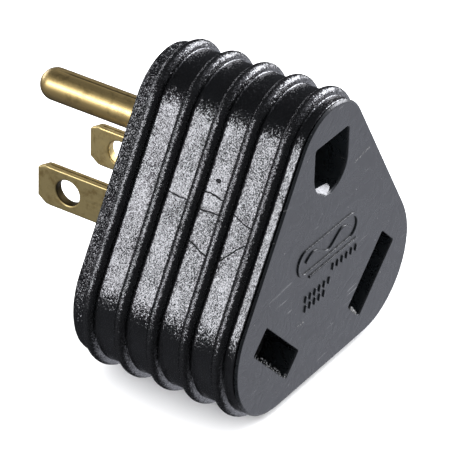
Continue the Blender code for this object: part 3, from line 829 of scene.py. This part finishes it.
def thinned_tip(shape, centre_x, start_y, tip_y, share):
    """Coins the end of a blade: its thickness falls to a share of itself between two places along Y."""
    coined = bmesh.new()
    coined.from_mesh(shape.data)
    for place in (start_y, (start_y + tip_y) / 2):
        whole = list(coined.verts) + list(coined.edges) + list(coined.faces)
        bmesh.ops.bisect_plane(
            coined, geom=whole, plane_co=(0, place, 0), plane_no=(0, 1, 0), dist=1e-7
        )
    for vertex in coined.verts:
        reach = max(0.0, (vertex.co.y - start_y) / (tip_y - start_y))
        vertex.co.x = centre_x + (vertex.co.x - centre_x) * (1 - (1 - share) * reach)
    coined.to_mesh(shape.data)
    coined.free()


def blade_painted_shade(side):
    """Painted shade in a blade's seam and on the wall of its hole, and a little on all of the line blade,
    the duller one.
    """
    hole_y = JACKET_HIGH.y + BLADE_HOLE_REACH
    seam_floor = BLADE_WIDTH / 2 - 0.4 * MM

    def amount(place):
        if math.hypot(place.y - hole_y, place.z - BLADE_Z) < BLADE_HOLE_RADIUS * 1.02:
            return 0.95 if side < 0 else 0.3
        in_seam = abs(place.x - side * BLADE_X) < 0.14 * MM
        if in_seam and abs(abs(place.z - BLADE_Z) - seam_floor) < 0.02 * MM:
            return 1.0
        return 0.25 if side < 0 else 0.0

    return amount


def make_blade(side, name):
    """A folded flat blade with a seam, clipped corners, a coined tip, a hole and its inner foot."""
    low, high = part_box(name + "_blade")
    foot_front = low.y - FRONT
    tip = high.y - FRONT
    half = BLADE_WIDTH / 2
    outline = [(foot_front, -half), (tip - BLADE_CLIP_Y, -half), (tip, BLADE_CLIP_Z - half)]
    outline += [(tip, half - BLADE_CLIP_Z), (tip - BLADE_CLIP_Y, half), (foot_front, half)]
    hole = circle((BODY_DEPTH + BLADE_HOLE_REACH, 0), BLADE_HOLE_RADIUS, 40)
    frame_at = Matrix.Translation((side * BLADE_X, FRONT, BLADE_Z)) @ SIDEWAYS
    blade = from_curve(name + "_blade_metal", [outline, hole], BLADE_THICKNESS, 0.26 * MM, frame_at, 3)
    thinned_tip(blade, side * BLADE_X, high.y - 2.2 * MM, high.y, 0.6)
    groove = 0.13 * MM
    for direction in (-1, 1):
        edge = BLADE_Z + direction * half
        inner = edge - direction * 0.4 * MM
        outer = edge + direction * 0.5 * MM
        near = (side * BLADE_X - groove, JACKET_HIGH.y - 2 * MM, min(inner, outer))
        far = (side * BLADE_X + groove, high.y - BLADE_CLIP_Y - 0.5 * MM, max(inner, outer))
        combine(blade, block(name + "_seam", near, far), "DIFFERENCE")
    inner_x, outer_x = sorted((side * BLADE_X, low.x if side < 0 else high.x))
    foot_low = (inner_x, low.y, BLADE_Z - half)
    foot_high = (outer_x, low.y + FOOT_THICKNESS, BLADE_Z + half)
    combine(blade, block(name + "_foot", foot_low, foot_high), "UNION")
    rivet_hole = [circle((side * FOOT_HOLE_X, BLADE_Z), FOOT_HOLE_RADIUS)]
    hole_cutter = plate(name + "_foot_hole", rivet_hole, foot_front - MM, foot_front + 3 * MM)
    combine(blade, hole_cutter, "DIFFERENCE")
    bake_modifiers(blade)
    # Painted shade: the seam, the hole wall and the line blade are darkened in the brass.
    shade_at = blade_painted_shade(side)
    store_values(blade, "darkening", [shade_at(vertex.co) for vertex in blade.data.vertices])
    return settle(blade, PRONG_BRASS, name + "_blade")


def make_ground_pin():
    """A turned pin with a shallow drawn seam along its top, darkened with painted shade, and a rounded
    tip.
    """
    front = PIN_LOW.y - FRONT
    tip = PIN_HIGH.y - FRONT
    blade_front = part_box("line_blade")[0].y - FRONT
    collar_end = blade_front + FOOT_THICKNESS - CLEARANCE
    soft = 0.12 * MM
    profile = [(front, SPIGOT_RADIUS - soft), (front + soft, SPIGOT_RADIUS), (blade_front, SPIGOT_RADIUS)]
    profile += [(blade_front, PIN_COLLAR - soft), (blade_front + soft, PIN_COLLAR)]
    profile += [(collar_end - soft, PIN_COLLAR), (collar_end, PIN_COLLAR - soft), (collar_end, PIN_RADIUS)]
    start = collar_end
    end = tip - PIN_RADIUS
    profile += [(start + (end - start) * step / 22, PIN_RADIUS) for step in range(1, 23)]
    for step in range(1, 14):
        angle = math.pi / 2 * step / 14
        profile.append((end + PIN_RADIUS * math.sin(angle), PIN_RADIUS * math.cos(angle)))
    profile.append((tip, PIN_RADIUS * 0.02))
    rings = []
    seam_shade = []
    for station, radius in profile:
        ring = []
        along = 0.0
        if station > BODY_DEPTH - 3 * MM:
            along = min(1.0, max(0.0, (end - station) / (2 * MM)))
        for index in range(PIN_SIDES):
            angle = 2 * math.pi * index / PIN_SIDES
            off_top = abs((angle - math.radians(90) + math.pi) % (2 * math.pi) - math.pi)
            seam = math.exp(-((off_top / PIN_SEAM_WIDTH) ** 2)) * along
            place = radius - min(seam * PIN_SEAM_DEPTH, radius * 0.5)
            # Painted shade: the seam groove darkens the brass.
            seam_shade.append(seam)
            ring.append((place * math.cos(angle), station, PIN_Z + place * math.sin(angle)))
        rings.append(ring)
    pin = loft("ground_pin_metal", rings, False)
    store_values(pin, "darkening", seam_shade)
    return settle(pin, PIN_BRASS, "ground_pin")


# ---------------------------------------------------------------- scene


CAD_LOOKS = {
    "contact_carrier": CORE_PLASTIC,
    "busbar_spacer": SPACER_PLASTIC,
    "ground_contact": CONTACT_BRASS,
    "ground_contact_spring": SPRING_STEEL,
    "ground_strap": CONTACT_BRASS,
    "ground_contact_rivet": CONTACT_BRASS,
}
for _, side_name in SIDES:
    CAD_LOOKS[side_name + "_contact"] = CONTACT_BRASS
    CAD_LOOKS[side_name + "_contact_spring"] = SPRING_STEEL
    CAD_LOOKS[side_name + "_strap"] = CONTACT_BRASS
    CAD_LOOKS[side_name + "_contact_rivet"] = CONTACT_BRASS
    CAD_LOOKS[side_name + "_blade_rivet"] = CONTACT_BRASS


def dress_cad_nodes():
    for name, material in CAD_LOOKS.items():
        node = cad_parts[name]
        node.data.materials.clear()
        node.data.materials.append(material)


# Soft lights round the target: (name, direction, distance, width, height, radiance)
TARGET = Vector((0, -9 * MM, 20 * MM))
PANELS = (
    ("left_panel", (-0.8, 0.48, 0.36), 0.5, 0.36, 0.22, 2.5),
    ("left_core", (-0.8, 0.46, 0.365), 0.5, 0.22, 0.13, 6.5),
    ("left_centre", (-0.8, 0.45, 0.37), 0.25, 0.08, 0.07, 3.5),
    ("back_panel", (0.25, 0.96, 0.12), 0.5, 0.34, 0.14, 4.0),
    ("right_panel", (0.88, -0.28, 0.4), 0.5, 0.28, 0.26, 15.0),
)


def panel(name, direction, distance, width, height, radiance):
    """A soft rectangular light that faces the object. The camera doesn't see it."""
    light = bpy.data.lights.new(name, "AREA")
    light.shape = "RECTANGLE"
    light.size = width
    light.size_y = height
    light.energy = radiance * math.pi * width * height
    light.color = (0.97, 0.98, 1.04)
    holder = bpy.data.objects.new(name, light)
    bpy.context.scene.collection.objects.link(holder)
    away = Vector(direction).normalized()
    holder.location = TARGET + away * distance
    holder.rotation_mode = "QUATERNION"
    holder.rotation_quaternion = away.to_track_quat("Z", "Y")
    holder.visible_camera = False


def make_floor():
    """A wide pale floor that the object's glossy skin doesn't mirror."""
    made = bmesh.new()
    bmesh.ops.create_grid(made, x_segments=1, y_segments=1, size=3.0)
    floor = object_from("floor", made)
    look = Look("pale_floor", specular=0.0)
    tone = look.noise(0.4, 2.0)
    look.finish(look.blend(tone, (0.93, 0.93, 0.93, 1), (0.95, 0.95, 0.95, 1)), 1.0)
    floor.data.materials.append(look.material)
    floor.visible_glossy = False


def make_world():
    """A white room to the camera, an even fill for the floor, and a soft gradient in reflections."""
    world = bpy.data.worlds.new("studio")
    bpy.context.scene.world = world
    world.use_nodes = True
    tree = world.node_tree

    def add(kind, **settings):
        made = tree.nodes.new(kind)
        for key, value in settings.items():
            setattr(made, key, value)
        return made

    def link(source, target):
        tree.links.new(source, target)

    direction = add("ShaderNodeTexCoord").outputs["Generated"]

    def facing(way):
        dot = add("ShaderNodeVectorMath", operation="DOT_PRODUCT")
        link(direction, dot.inputs[0])
        dot.inputs[1].default_value = Vector(way).normalized()
        return dot.outputs["Value"]

    def ramp(value, low, high, to_low, to_high):
        made = add("ShaderNodeMapRange", interpolation_type="SMOOTHSTEP")
        link(value, made.inputs["Value"])
        for key, number in zip(("From Min", "From Max", "To Min", "To Max"), (low, high, to_low, to_high)):
            if isinstance(number, bpy.types.NodeSocket):
                link(number, made.inputs[key])
            else:
                made.inputs[key].default_value = number
        return made.outputs[0]

    ground = ramp(facing((0.706, -0.452, -0.545)), 0.66, 0.9, 0.06, 1.1)
    behind = ramp(facing((-0.706, 0.452, -0.545)), 0.6, 0.95, 0.0, 0.08)
    below = add("ShaderNodeMath", operation="ADD")
    link(ground, below.inputs[0])
    link(behind, below.inputs[1])
    sky = ramp(facing((0.62, -0.35, 0.7)), 0.75, 1.0, 0.08, 0.9)
    room = ramp(facing((0, 0, 1)), -0.3, 0.05, below.outputs[0], sky)
    path = add("ShaderNodeLightPath")
    fill = add("ShaderNodeMix", data_type="FLOAT")
    link(path.outputs["Is Diffuse Ray"], fill.inputs["Factor"])
    link(room, fill.inputs["A"])
    fill.inputs["B"].default_value = 2.0
    seen = add("ShaderNodeMix", data_type="FLOAT")
    link(path.outputs["Is Camera Ray"], seen.inputs["Factor"])
    link(fill.outputs[0], seen.inputs["A"])
    seen.inputs["B"].default_value = 1.0
    background = tree.nodes["Background"]
    link(seen.outputs[0], background.inputs["Strength"])
    tint = add("ShaderNodeMix", data_type="RGBA")
    link(path.outputs["Is Glossy Ray"], tint.inputs["Factor"])
    first, second = [socket for socket in tint.inputs if socket.type == "RGBA"]
    first.default_value = (1, 1, 1, 1)
    second.default_value = (0.95, 0.97, 1.09, 1)
    link([socket for socket in tint.outputs if socket.type == "RGBA"][0], background.inputs["Color"])


AZIMUTH = math.radians(-57.46)
ELEVATION = math.radians(33.02)
ROLL = math.radians(1.85)
CAMERA_DISTANCE = 540 * MM
CAMERA_LENS = 317.3
AIM_HEIGHT = 19.29 * MM
AIM_RIGHT = -14.05 * MM
AIM_UP = 4.68 * MM


def make_camera():
    """A long lens from the left, above and in front, aimed a little to the left of the face's middle."""
    flat = math.cos(ELEVATION)
    back = Vector((math.sin(AZIMUTH) * flat, -math.cos(AZIMUTH) * flat, math.sin(ELEVATION)))
    level = Vector((math.cos(AZIMUTH), math.sin(AZIMUTH), 0))
    upright = back.cross(level)
    right = level * math.cos(ROLL) + upright * math.sin(ROLL)
    up = upright * math.cos(ROLL) - level * math.sin(ROLL)
    middle = Vector((0, FRONT, AIM_HEIGHT))
    camera = bpy.data.objects.new("camera", bpy.data.cameras.new("camera"))
    bpy.context.scene.collection.objects.link(camera)
    place = middle + right * AIM_RIGHT + up * AIM_UP + back * CAMERA_DISTANCE
    camera.matrix_world = Matrix.Translation(place) @ Matrix((right, up, back)).transposed().to_4x4()
    camera.data.lens = CAMERA_LENS
    camera.data.sensor_width = 36.0
    camera.data.clip_start = 0.01
    camera.data.clip_end = 20.0
    bpy.context.scene.camera = camera


make_jacket()
make_receptacle_face()
make_plug_face()
for side_sign, side_name in SIDES:
    make_blade(side_sign, side_name)
make_ground_pin()
dress_cad_nodes()
for cutter in CUTTERS:
    bpy.data.objects.remove(cutter)

make_floor()
make_world()
for panel_settings in PANELS:
    panel(*panel_settings)
make_camera()
bpy.context.scene.view_settings.view_transform = "Standard"
